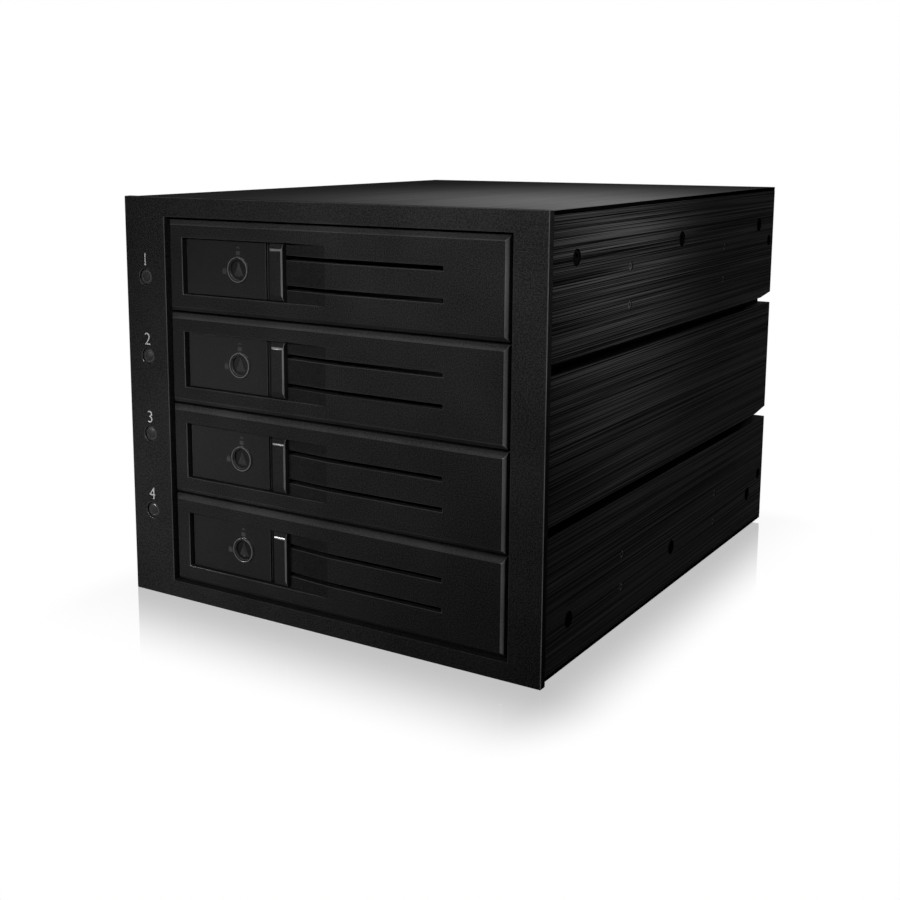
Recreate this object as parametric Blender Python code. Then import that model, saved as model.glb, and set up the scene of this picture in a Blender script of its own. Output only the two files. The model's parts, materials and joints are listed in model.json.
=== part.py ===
"""Four-bay trayless drive rack that fills three 5.25 inch bays.

Sizes are in millimetres. X runs to the right seen from the front, Y runs back
from the bezel's front plane and Z runs up from the bezel's bottom edge. place()
turns them into metres, with the origin at the bottom centre of the whole rack.
"""

import math

import bmesh
import bpy
from mathutils import Matrix, Vector

# Overall size
WIDTH = 146.6
HEIGHT = 127.0
DEPTH = 184.6
GAP = 0.3
RUN_GAP = 0.2
THROUGH = 1.0
MM = 0.001
SAME = 1e-5

# Case
BEZEL_THICK = 2.7
BODY_HALF = 73.0
BODY_BOTTOM = 1.2
BODY_TOP = 126.8
COVER_THICK = 1.2
FLANGE_TALL = 16.0
WALL = 1.5
GROOVE_Z = (42.3, 85.7)
GROOVE_TALL = 2.75
GROOVE_DEEP = 4.5
GROOVE_SKIN = 1.2
FLARE_LONG = 14.0
FLARE_RISE = 1.2

# Holes and screws in the sides
SCREW_Y = (17.0, 92.5, 168.0)
SCREW_LOW_Z = 14.4
SCREW_HIGH_Z = 113.9
SCREW_HEAD_R = 2.2
SCREW_HEAD_TALL = 1.1
SCREW_SHANK_R = 1.2
SCREW_LONG = 5.2
SCREW_SUNK = 0.1
SOCKET_R = 1.1
SOCKET_DEEP = 0.6
BAY_HOLE_Y = (53.0, 132.25)
BAY_HOLE_Z = (12.9, 23.0, 97.5, 108.6)
BAY_HOLE_R = 1.25
REAR_HOLE_Y = 180.2
REAR_HOLE_Z = (19.5, 107.6)
REAR_HOLE_R = 2.0

# Front opening and its collar
OPEN_X = (-57.1, 63.15)
OPEN_Z = (5.45, 121.0)
COLLAR_WALL = 2.0
COLLAR_BACK = 9.0

# Status lights
LIGHT_X = -65.4
LIGHT_TOP_Z = 102.2
LIGHT_PITCH = 24.95
LIGHT_R = 2.4
LIGHT_FRONT = 0.3
LIGHT_RIM_R = 3.1
LIGHT_RIM_Y = (3.0, 4.2)
LIGHT_BACK = 7.6
LIGHT_BOARD_X = (-66.9, -60.5)
LIGHT_BOARD_Y = (7.9, 9.1)
LIGHT_BOARD_MARGIN = 7.0

# Doors
BAYS = 4
DOOR_PITCH = 28.75
DOOR_TALL = 28.15
DOOR_LOW_Z = 6.0
DOOR_X = (-56.6, 61.5)
DOOR_Y = (0.5, 7.0)
DOOR_CHAMFER = 1.6
DOOR_CHAMFER_RIGHT = 0.9
DOOR_SKIN = 2.2
DOOR_RIM = 2.0
HINGE_X = 57.0
HINGE_Y = 4.7
HINGE_R = 1.0
HINGE_BLOCK_X = 53.4
SLOT_X = (-12.5, 42.1)
SLOT_Z = (-4.35, 4.35)
SLOT_TALL = 1.3

# Latch lever in its pocket
POCKET_LEFT = -50.4
POCKET_HALF = 8.6
WINDOW_RIGHT = -11.65
RAMP_RIGHT = 3.2
RAMP_LEFT = -12.7
RAMP_DEEP_Y = 2.0
LEVER_LEFT = -49.9
LEVER_HALF = 8.3
PANEL_RIGHT = -18.95
PANEL_Y = 1.7
LEVER_BACK = 4.6
LEVER_EDGE = 0.5
NECK_Y = 2.5
BAR_X = (-16.55, -11.95)
BAR_Y = (0.2, 3.0)
BAR_EDGE = 0.4
BAR_END_RISE = 1.7
BAR_END_DROP = 0.9
LEVER_WEB_RIGHT = -13.2
PIVOT_X = -48.2
PIVOT_Y = 3.1
PIN_R = 0.5
PIN_HALF = 10.6
HOOK_LEFT = -56.3
HOOK_RIGHT = -46.0
HOOK_HALF = 2.5
HOOK_Y = (4.3, 6.0)
HOOK_SLOT_HALF = 3.2
SPRING_R = 0.95
SPRING_HALF = 2.0
SPRING_ROOM_R = 1.1

# Key lock in the lever
LOCK_X = -29.4
LOCK_RISE = -0.1
LOCK_RING_R = 3.75
LOCK_RING_Y = 1.2
LOCK_R = 2.9
LOCK_Y = (1.9, 6.4)
LOCK_CAM_Y = (5.0, 6.4)
LOCK_CAM_LONG = 6.5
LOCK_CAM_HALF = 1.5
KEYWAY_HALF = (0.35, 1.9)
KEYWAY_DEEP = 2.5

# Drive guides, backplane and connectors
DRIVE_CENTRE_X = 3.0
GUIDE_HALF = 51.6
GUIDE_WALL = 2.0
GUIDE_Y = (11.0, 150.0)
LEDGE_WIDE = 4.0
LEDGE_THICK = 1.5
LEDGE_RISE = 0.5
BOARD_X = (-62.0, 66.0)
BOARD_Y = (159.0, 160.6)
BOARD_Z = (4.0, 124.0)
AIR_SLOTS = 3
AIR_SLOT_LEFT = -50.0
AIR_SLOT_WIDE = 16.0
AIR_SLOT_PITCH = 24.0
AIR_SLOT_TALL = 8.0
PLUG_X = (-38.0, 5.0)
PLUG_RISE = 1.8
PLUG_TALL = 5.6
PLUG_FRONT = 151.0
PLUG_SLOT_TALL = 2.4
PLUG_SLOT_DEEP = 5.0
PLUG_END = 2.0
PORT_X = (26.0, 41.0)
PORT_TALL = 7.0
PORT_BACK = 171.0
POWER_X = (47.0, 64.0)
POWER_Z = (34.8, 92.3)
POWER_TALL = 7.0
PORT_SLOT_TALL = 2.4
PORT_SLOT_DEEP = 6.0
RIBBON_X = (-64.0, -63.2)
RIBBON_Z = (58.0, 66.0)

# Rear plate and fan
REAR_HALF = 66.0
REAR_Y = (167.2, 168.4)
FAN_X = -22.0
FAN_Z = 64.0
FAN_HALF = 40.0
FAN_Y = (168.8, 183.8)
FAN_BORE_R = 38.0
FAN_MOUNT_R = 15.0
FAN_MOUNT_Y = 181.6
FAN_STRUTS = 4
STRUT_HALF = 1.6
STRUT_START = math.radians(45.0)
HUB_R = 16.0
ROTOR_Y = (169.8, 180.9)
BLADES = 7
BLADE_TIP_R = 36.8
BLADE_THICK = 1.4
BLADE_CHORD = 12.0
BLADE_PITCH = math.radians(42.0)

# Facets of round shapes
FINE = 32
ROUND = 16
SMALL = 12
COARSE = 8
HEXAGON = 6

BLACK_PLASTIC = (0.014, 0.014, 0.015)
BLACK_METAL = (0.020, 0.020, 0.022)
DARK_LENS = (0.05, 0.05, 0.055)
STEEL = (0.45, 0.45, 0.46)
LOCK_METAL = (0.12, 0.12, 0.125)
BOARD_GREEN = (0.010, 0.055, 0.025)
CREAM = (0.55, 0.52, 0.45)
GREY = (0.30, 0.30, 0.31)


def clear_scene():
    for thing in list(bpy.data.objects):
        bpy.data.objects.remove(thing, do_unlink=True)


def new_collection(name):
    collection = bpy.data.collections.new(name)
    bpy.context.scene.collection.children.link(collection)
    return collection


def place(x, y, z):
    """A point of the millimetre layout as a world point in metres."""
    return Vector((x, y - DEPTH / 2, z)) * MM


def material(name, colour, roughness, metallic=0.0):
    made = bpy.data.materials.new(name)
    made.use_nodes = True
    shader = made.node_tree.nodes["Principled BSDF"]
    shader.inputs["Base Color"].default_value = (*colour, 1.0)
    shader.inputs["Roughness"].default_value = roughness
    shader.inputs["Metallic"].default_value = metallic
    return made


def keep(name, bm, collection):
    bmesh.ops.recalc_face_normals(bm, faces=bm.faces)
    mesh = bpy.data.meshes.new(name)
    bm.to_mesh(mesh)
    bm.free()
    thing = bpy.data.objects.new(name, mesh)
    collection.objects.link(thing)
    return thing


def box(name, x, y, z):
    """A block between the two limits given for each axis."""
    low = place(x[0], y[0], z[0])
    high = place(x[1], y[1], z[1])
    bm = bmesh.new()
    size = Matrix.Diagonal((*(high - low), 1.0))
    bmesh.ops.create_cube(bm, size=1.0, matrix=Matrix.Translation((low + high) / 2) @ size)
    return keep(name, bm, shapes)


def rod(name, start, end, radius, sides=ROUND):
    """A round bar between two points of the layout."""
    low = place(*start)
    along = place(*end) - low
    turn = along.to_track_quat("Z", "Y").to_matrix().to_4x4()
    bm = bmesh.new()
    bmesh.ops.create_cone(
        bm, cap_ends=True, segments=sides, radius1=radius * MM, radius2=radius * MM,
        depth=along.length, matrix=Matrix.Translation(low + along / 2) @ turn,
    )
    return keep(name, bm, shapes)


def extrude(name, corners, travel):
    """A flat outline of layout points pulled along a layout direction."""
    bm = bmesh.new()
    face = bm.faces.new([bm.verts.new(place(*corner)) for corner in corners])
    pulled = bmesh.ops.extrude_face_region(bm, geom=[face])
    moved = [part for part in pulled["geom"] if isinstance(part, bmesh.types.BMVert)]
    bmesh.ops.translate(bm, verts=moved, vec=Vector(travel) * MM)
    return keep(name, bm, shapes)


def combine(target, operation, tools):
    for tool in tools:
        step = target.modifiers.new(tool.name, "BOOLEAN")
        step.operation = operation
        step.object = tool
        tool.hide_render = True
        tool.display_type = "WIRE"
        shapes.objects.unlink(tool)
        cutters.objects.link(tool)


def cut(target, *tools):
    combine(target, "DIFFERENCE", tools)


def join(target, *tools):
    combine(target, "UNION", tools)


def paint(thing, look):
    thing.data.materials.append(look)
    return thing


def set_pivot(thing, x, y, z):
    """Moves an object's origin onto its joint axis and leaves its shape where it is."""
    point = place(x, y, z)
    thing.data.transform(Matrix.Translation(-point))
    thing.location = point


def ride(child, parent):
    bpy.context.view_layer.update()
    child.parent = parent
    child.matrix_parent_inverse = parent.matrix_world.inverted()


def bay_low(bay):
    return DOOR_LOW_Z + (BAYS - 1 - bay) * DOOR_PITCH


def bay_middle(bay):
    return bay_low(bay) + DOOR_TALL / 2


def front_bezel():
    half = WIDTH / 2
    bezel = box("front_bezel", (-half, half), (0, BEZEL_THICK), (0, HEIGHT))
    wide = (OPEN_X[0] - COLLAR_WALL, OPEN_X[1] + COLLAR_WALL)
    tall = (OPEN_Z[0] - COLLAR_WALL, OPEN_Z[1] + COLLAR_WALL)
    join(bezel, box("collar", wide, (BEZEL_THICK - THROUGH, COLLAR_BACK), tall))
    cut(bezel, box("front_opening", OPEN_X, (-THROUGH, COLLAR_BACK + THROUGH), OPEN_Z))
    for light in range(BAYS):
        z = LIGHT_TOP_Z - light * LIGHT_PITCH
        hole = rod(
            f"light_hole_{light + 1}", (LIGHT_X, -THROUGH, z),
            (LIGHT_X, BEZEL_THICK + THROUGH, z), LIGHT_R + RUN_GAP,
        )
        cut(bezel, hole)
    cut(bezel, rod(
        "hinge_hole", (HINGE_X, HINGE_Y, tall[0] - THROUGH),
        (HINGE_X, HINGE_Y, tall[1] + THROUGH), HINGE_R + RUN_GAP, SMALL,
    ))
    return paint(bezel, material("bezel_plastic", BLACK_PLASTIC, 0.55))


def side_panel(name, side):
    """A wall with two grooves folded into it, mirrored by the sign of side."""
    low = BODY_BOTTOM + COVER_THICK + GAP
    high = BODY_TOP - COVER_THICK - GAP
    half = GROOVE_TALL / 2
    outer = [(BODY_HALF, low)]
    inner = [(BODY_HALF - WALL, low)]
    for middle in GROOVE_Z:
        floor = BODY_HALF - GROOVE_DEEP
        back = floor - GROOVE_SKIN
        fold = half + GROOVE_SKIN
        outer += [(BODY_HALF, middle - half), (floor, middle - half)]
        outer += [(floor, middle + half), (BODY_HALF, middle + half)]
        inner += [(BODY_HALF - WALL, middle - fold), (back, middle - fold)]
        inner += [(back, middle + fold), (BODY_HALF - WALL, middle + fold)]
    outer.append((BODY_HALF, high))
    inner.append((BODY_HALF - WALL, high))
    front = BEZEL_THICK + GAP
    corners = [(side * x, front, z) for x, z in outer + inner[::-1]]
    panel = extrude(name, corners, (0, DEPTH - front, 0))
    deep = side * (BODY_HALF - GROOVE_DEEP - GROOVE_SKIN - THROUGH)
    for index, middle in enumerate(GROOVE_Z):
        start = DEPTH - FLARE_LONG
        rise = FLARE_RISE * (FLARE_LONG + THROUGH) / FLARE_LONG
        lip = middle + half
        wedge = [
            (deep, start, lip - half), (deep, DEPTH + THROUGH, lip - half),
            (deep, DEPTH + THROUGH, lip + rise), (deep, start, lip - GAP),
        ]
        reach = side * (GROOVE_DEEP + GROOVE_SKIN + 2 * THROUGH)
        cut(panel, extrude(f"{name}_flare_{index + 1}", wedge, (reach, 0, 0)))
    holes = [(y, z, SCREW_HEAD_R + RUN_GAP) for y in SCREW_Y for z in (SCREW_LOW_Z, SCREW_HIGH_Z)]
    holes += [(y, z, BAY_HOLE_R) for y in BAY_HOLE_Y for z in BAY_HOLE_Z]
    holes += [(REAR_HOLE_Y, z, REAR_HOLE_R) for z in REAR_HOLE_Z]
    for index, (y, z, radius) in enumerate(holes):
        cut(panel, side_hole(f"{name}_hole_{index + 1}", side, y, z, radius))
    return panel


def side_hole(name, side, y, z, radius):
    inside = side * (BODY_HALF - 2 * WALL - COVER_THICK)
    outside = side * (BODY_HALF + THROUGH)
    return rod(name, (inside, y, z), (outside, y, z), radius, SMALL)


def cover(name, outer_z, inward, screw_z):
    """A sheet with a flange folded down each side, for the top or the bottom."""
    half = BODY_HALF - WALL - GAP
    sheet = sorted((outer_z, outer_z + inward * COVER_THICK))
    fold = sorted((outer_z + inward * COVER_THICK / 2, outer_z + inward * FLANGE_TALL))
    length = (BEZEL_THICK + GAP, DEPTH)
    made = box(name, (-BODY_HALF, BODY_HALF), length, sheet)
    flange_length = (COLLAR_BACK, DEPTH)
    for side in (-1, 1):
        across = sorted((side * half, side * (half - COVER_THICK)))
        join(made, box(f"{name}_flange_{side}", across, flange_length, fold))
    for side in (-1, 1):
        for y in SCREW_Y:
            cut(made, side_hole(f"{name}_tap_{side}_{y}", side, y, screw_z, SCREW_SHANK_R + RUN_GAP))
        for y in BAY_HOLE_Y:
            for z in BAY_HOLE_Z:
                if fold[0] < z - BAY_HOLE_R and z + BAY_HOLE_R < fold[1]:
                    cut(made, side_hole(f"{name}_bay_{side}_{y}_{z}", side, y, z, BAY_HOLE_R))
    return made


def side_screw(name, side, y, z):
    head = side * (BODY_HALF - SCREW_SUNK)
    shoulder = head - side * SCREW_HEAD_TALL
    tip = head - side * SCREW_LONG
    screw = rod(name, (head, y, z), (shoulder, y, z), SCREW_HEAD_R, ROUND)
    shank_start = shoulder + side * SCREW_HEAD_TALL / 4
    join(screw, rod(f"{name}_shank", (shank_start, y, z), (tip, y, z), SCREW_SHANK_R, COARSE))
    socket_end = head - side * SOCKET_DEEP
    cut(screw, rod(f"{name}_socket", (head + side * THROUGH, y, z), (socket_end, y, z), SOCKET_R, HEXAGON))
    return screw


def light(index):
    z = LIGHT_TOP_Z - index * LIGHT_PITCH
    name = f"led_lens_{index + 1}"
    lens = rod(name, (LIGHT_X, LIGHT_FRONT, z), (LIGHT_X, LIGHT_BACK, z), LIGHT_R)
    join(lens, rod(f"{name}_rim", (LIGHT_X, LIGHT_RIM_Y[0], z), (LIGHT_X, LIGHT_RIM_Y[1], z), LIGHT_RIM_R))
    return lens


def door(bay):
    name = f"door_{bay + 1}"
    low = bay_low(bay)
    high = low + DOOR_TALL
    middle = bay_middle(bay)
    face, back = DOOR_Y
    made = box(name, DOOR_X, DOOR_Y, (low, high))
    chamfer_door(made, place(0, face, 0).y)
    hollow = box(
        f"{name}_hollow", (RAMP_RIGHT + DOOR_RIM, HINGE_BLOCK_X), (face + DOOR_SKIN, back + THROUGH),
        (low + DOOR_RIM, high - DOOR_RIM),
    )
    pocket = (middle - POCKET_HALF, middle + POCKET_HALF)
    window = box(f"{name}_window", (POCKET_LEFT, WINDOW_RIGHT), (-THROUGH, back + THROUGH), pocket)
    slope = (RAMP_RIGHT - RAMP_LEFT) / (RAMP_DEEP_Y - face)
    ramp_end = RAMP_RIGHT + slope * (face + THROUGH)
    ramp_outline = [
        (RAMP_LEFT, -THROUGH), (ramp_end, -THROUGH), (RAMP_LEFT, RAMP_DEEP_Y),
    ]
    ramp = extrude(
        f"{name}_ramp", [(x, y, pocket[0]) for x, y in ramp_outline], (0, 0, 2 * POCKET_HALF)
    )
    hook_way = box(
        f"{name}_hook_way", (DOOR_X[0] - THROUGH, POCKET_LEFT + THROUGH),
        (HOOK_Y[0] - 2 * GAP, back + THROUGH), (middle - HOOK_SLOT_HALF, middle + HOOK_SLOT_HALF),
    )
    right = DOOR_X[1] + THROUGH
    trim_outline = [
        (DOOR_X[1] - DOOR_CHAMFER_RIGHT - THROUGH, face - THROUGH), (right, face - THROUGH),
        (right, face + DOOR_CHAMFER_RIGHT + THROUGH),
    ]
    trim = extrude(
        f"{name}_right_trim", [(x, y, low - THROUGH) for x, y in trim_outline],
        (0, 0, DOOR_TALL + 2 * THROUGH),
    )
    cut(made, hollow, window, ramp, hook_way, trim)
    for index, rise in enumerate(SLOT_Z):
        tall = (middle + rise - SLOT_TALL / 2, middle + rise + SLOT_TALL / 2)
        cut(made, box(f"{name}_slot_{index + 1}", SLOT_X, (-THROUGH, back + THROUGH), tall))
    cut(made, rod(
        f"{name}_hinge_bore", (HINGE_X, HINGE_Y, low - THROUGH), (HINGE_X, HINGE_Y, high + THROUGH),
        HINGE_R + RUN_GAP, SMALL,
    ))
    cut(made, pin_bore(f"{name}_pin_bore", middle, PIN_HALF + GAP))
    set_pivot(made, HINGE_X, HINGE_Y, middle)
    return made


def chamfer_door(thing, face_y):
    """Bevels the top, bottom and left edges of the door's front face."""
    bm = bmesh.new()
    bm.from_mesh(thing.data)
    right = max(vert.co.x for vert in bm.verts)
    rim = [
        edge for edge in bm.edges
        if all(abs(end.co.y - face_y) < SAME for end in edge.verts)
        and any(end.co.x < right - SAME for end in edge.verts)
    ]
    bmesh.ops.bevel(bm, geom=rim, offset=DOOR_CHAMFER * MM, segments=1, affect="EDGES")
    bm.to_mesh(thing.data)
    bm.free()


def pin_bore(name, middle, half):
    return rod(name, (PIVOT_X, PIVOT_Y, middle - half), (PIVOT_X, PIVOT_Y, middle + half),
               PIN_R + RUN_GAP, SMALL)


def lever(bay):
    name = f"latch_lever_{bay + 1}"
    middle = bay_middle(bay)
    left, right = BAR_X
    front, under = BAR_Y
    outline = [
        (LEVER_LEFT, PANEL_Y + LEVER_EDGE), (LEVER_LEFT + LEVER_EDGE, PANEL_Y), (PANEL_RIGHT, PANEL_Y),
        (PANEL_RIGHT, NECK_Y), (left, NECK_Y),
        (left, front + BAR_EDGE), (left + BAR_EDGE, front), (right - BAR_EDGE, front),
        (right, front + BAR_EDGE), (right, under), (LEVER_WEB_RIGHT, under),
        (LEVER_WEB_RIGHT, LEVER_BACK), (LEVER_LEFT, LEVER_BACK),
    ]
    low = middle - LEVER_HALF
    made = extrude(name, [(x, y, low) for x, y in outline], (0, 0, 2 * LEVER_HALF))
    for side in (-1, 1):
        end = middle + side * (LEVER_HALF + GAP)
        inner = middle + side * (LEVER_HALF - BAR_END_RISE)
        wedge = [
            (left - GAP, -THROUGH, inner), (left - GAP, front, inner),
            (left - GAP, front + BAR_END_DROP, end), (left - GAP, -THROUGH, end),
        ]
        cut(made, extrude(f"{name}_end_{side}", wedge, (right - left + 2 * GAP, 0, 0)))
    centre = middle + LOCK_RISE
    ring = rod(f"{name}_ring", (LOCK_X, LOCK_RING_Y, centre), (LOCK_X, NECK_Y, centre), LOCK_RING_R, FINE)
    hook = box(
        f"{name}_hook", (HOOK_LEFT, HOOK_RIGHT), HOOK_Y, (middle - HOOK_HALF, middle + HOOK_HALF)
    )
    join(made, ring, hook)
    cut(made, rod(
        f"{name}_lock_bore", (LOCK_X, -THROUGH, centre), (LOCK_X, LEVER_BACK + THROUGH, centre),
        LOCK_R + RUN_GAP, FINE,
    ))
    cut(made, pin_bore(f"{name}_pin_bore", middle, LEVER_HALF + THROUGH))
    spring_room = rod(
        f"{name}_spring_room", (PIVOT_X, PIVOT_Y, middle - SPRING_HALF - GAP),
        (PIVOT_X, PIVOT_Y, middle + SPRING_HALF + GAP), SPRING_ROOM_R, SMALL,
    )
    cut(made, spring_room)
    set_pivot(made, PIVOT_X, PIVOT_Y, middle)
    return made


def lever_pin(bay):
    middle = bay_middle(bay)
    ends = (middle - PIN_HALF, middle + PIN_HALF)
    pin = rod(f"lever_pin_{bay + 1}", (PIVOT_X, PIVOT_Y, ends[0]), (PIVOT_X, PIVOT_Y, ends[1]), PIN_R, COARSE)
    return pin


def lever_spring(bay):
    """The torsion coil round the lever's pin, as a plain sleeve."""
    middle = bay_middle(bay)
    low = (PIVOT_X, PIVOT_Y, middle - SPRING_HALF)
    high = (PIVOT_X, PIVOT_Y, middle + SPRING_HALF)
    spring = rod(f"lever_spring_{bay + 1}", low, high, SPRING_R, SMALL)
    cut(spring, pin_bore(f"lever_spring_{bay + 1}_bore", middle, SPRING_HALF + THROUGH))
    return spring


def lock(bay):
    name = f"lock_plug_{bay + 1}"
    centre = bay_middle(bay) + LOCK_RISE
    plug = rod(name, (LOCK_X, LOCK_Y[0], centre), (LOCK_X, LOCK_Y[1], centre), LOCK_R, FINE)
    cam_x = (LOCK_X - LOCK_CAM_HALF, LOCK_X + LOCK_CAM_HALF)
    join(plug, box(f"{name}_cam", cam_x, LOCK_CAM_Y, (centre, centre + LOCK_CAM_LONG)))
    key_x = (LOCK_X - KEYWAY_HALF[0], LOCK_X + KEYWAY_HALF[0])
    key_z = (centre - KEYWAY_HALF[1], centre + KEYWAY_HALF[1])
    cut(plug, box(f"{name}_keyway", key_x, (-THROUGH, LOCK_Y[0] + KEYWAY_DEEP), key_z))
    set_pivot(plug, LOCK_X, LOCK_Y[0], centre)
    return plug


def guide(name, side):
    """A wall beside the drives with a ledge under each drive's edge."""
    inside = DRIVE_CENTRE_X + side * GUIDE_HALF
    outside = inside + side * GUIDE_WALL
    tip = inside - side * LEDGE_WIDE
    low = BODY_BOTTOM + COVER_THICK + GAP
    high = BODY_TOP - COVER_THICK - GAP
    outline = [(outside, high), (outside, low), (inside, low)]
    for bay in reversed(range(BAYS)):
        ledge = bay_low(bay) + LEDGE_RISE
        outline += [(inside, ledge - LEDGE_THICK), (tip, ledge - LEDGE_THICK)]
        outline += [(tip, ledge), (inside, ledge)]
    outline.append((inside, high))
    start, end = GUIDE_Y
    return extrude(name, [(x, start, z) for x, z in outline], (0, end - start, 0))


def backplane():
    board = box("backplane_board", BOARD_X, BOARD_Y, BOARD_Z)
    through = (BOARD_Y[0] - THROUGH, BOARD_Y[1] + THROUGH)
    for bay in range(BAYS):
        middle = bay_middle(bay) + PLUG_TALL / 2
        tall = (middle - AIR_SLOT_TALL / 2, middle + AIR_SLOT_TALL / 2)
        for slot in range(AIR_SLOTS):
            left = AIR_SLOT_LEFT + slot * AIR_SLOT_PITCH
            wide = (left, left + AIR_SLOT_WIDE)
            cut(board, box(f"board_air_{bay + 1}_{slot + 1}", wide, through, tall))
    return board


def drive_connector(bay):
    name = f"drive_connector_{bay + 1}"
    low = bay_low(bay) + PLUG_RISE
    plug = box(name, PLUG_X, (PLUG_FRONT, BOARD_Y[0] - GAP), (low, low + PLUG_TALL))
    middle = low + PLUG_TALL / 2
    slot_x = (PLUG_X[0] + PLUG_END, PLUG_X[1] - PLUG_END)
    slot_z = (middle - PLUG_SLOT_TALL / 2, middle + PLUG_SLOT_TALL / 2)
    cut(plug, box(f"{name}_slot", slot_x, (PLUG_FRONT - THROUGH, PLUG_FRONT + PLUG_SLOT_DEEP), slot_z))
    return plug


def rear_socket(name, x, middle, tall):
    socket = box(name, x, (BOARD_Y[1] + GAP, PORT_BACK), (middle - tall / 2, middle + tall / 2))
    slot_x = (x[0] + PLUG_END, x[1] - PLUG_END)
    slot_z = (middle - PORT_SLOT_TALL / 2, middle + PORT_SLOT_TALL / 2)
    cut(socket, box(f"{name}_slot", slot_x, (PORT_BACK - PORT_SLOT_DEEP, PORT_BACK + THROUGH), slot_z))
    return socket


def rear_plate():
    low = BODY_BOTTOM + COVER_THICK + GAP
    high = BODY_TOP - COVER_THICK - GAP
    plate = box("rear_plate", (-REAR_HALF, REAR_HALF), REAR_Y, (low, high))
    through = (REAR_Y[0] - THROUGH, REAR_Y[1] + THROUGH)
    cut(plate, rod("fan_hole", (FAN_X, through[0], FAN_Z), (FAN_X, through[1], FAN_Z), FAN_BORE_R, FINE))
    windows = [(PORT_X, bay_middle(bay), PORT_TALL) for bay in range(BAYS)]
    windows += [(POWER_X, z, POWER_TALL) for z in POWER_Z]
    for index, (x, middle, tall) in enumerate(windows):
        wide = (x[0] - GAP, x[1] + GAP)
        high_z = (middle - tall / 2 - GAP, middle + tall / 2 + GAP)
        cut(plate, box(f"rear_window_{index + 1}", wide, through, high_z))
    return plate


def fan_frame():
    across = (FAN_X - FAN_HALF, FAN_X + FAN_HALF)
    frame = box("fan_frame", across, FAN_Y, (FAN_Z - FAN_HALF, FAN_Z + FAN_HALF))
    ends = (FAN_Y[0] - THROUGH, FAN_Y[1] + THROUGH)
    cut(frame, rod("fan_bore", (FAN_X, ends[0], FAN_Z), (FAN_X, ends[1], FAN_Z), FAN_BORE_R, FINE))
    join(frame, rod("fan_mount", (FAN_X, FAN_MOUNT_Y, FAN_Z), (FAN_X, FAN_Y[1], FAN_Z), FAN_MOUNT_R))
    for strut in range(FAN_STRUTS):
        turn = STRUT_START + 2 * math.pi * strut / FAN_STRUTS
        arm = box(
            f"fan_strut_{strut + 1}", (FAN_X, FAN_X + FAN_BORE_R + THROUGH), (FAN_MOUNT_Y, FAN_Y[1]),
            (FAN_Z - STRUT_HALF, FAN_Z + STRUT_HALF),
        )
        spin(arm, turn)
        join(frame, arm)
    return frame


def spin(thing, turn):
    """Turns a shape about the fan's axis."""
    centre = Matrix.Translation(place(FAN_X, FAN_Y[0], FAN_Z))
    thing.data.transform(centre @ Matrix.Rotation(turn, 4, "Y") @ centre.inverted())


def fan_rotor():
    rotor = rod("fan_rotor", (FAN_X, ROTOR_Y[0], FAN_Z), (FAN_X, ROTOR_Y[1], FAN_Z), HUB_R, FINE)
    middle = sum(ROTOR_Y) / 2
    for blade in range(BLADES):
        made = box(
            f"fan_blade_{blade + 1}", (FAN_X + HUB_R - 2 * THROUGH, FAN_X + BLADE_TIP_R),
            (middle - BLADE_THICK / 2, middle + BLADE_THICK / 2),
            (FAN_Z - BLADE_CHORD / 2, FAN_Z + BLADE_CHORD / 2),
        )
        centre = Matrix.Translation(place(FAN_X, middle, FAN_Z))
        made.data.transform(centre @ Matrix.Rotation(BLADE_PITCH, 4, "X") @ centre.inverted())
        spin(made, 2 * math.pi * blade / BLADES)
        join(rotor, made)
    set_pivot(rotor, FAN_X, middle, FAN_Z)
    return rotor


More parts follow.
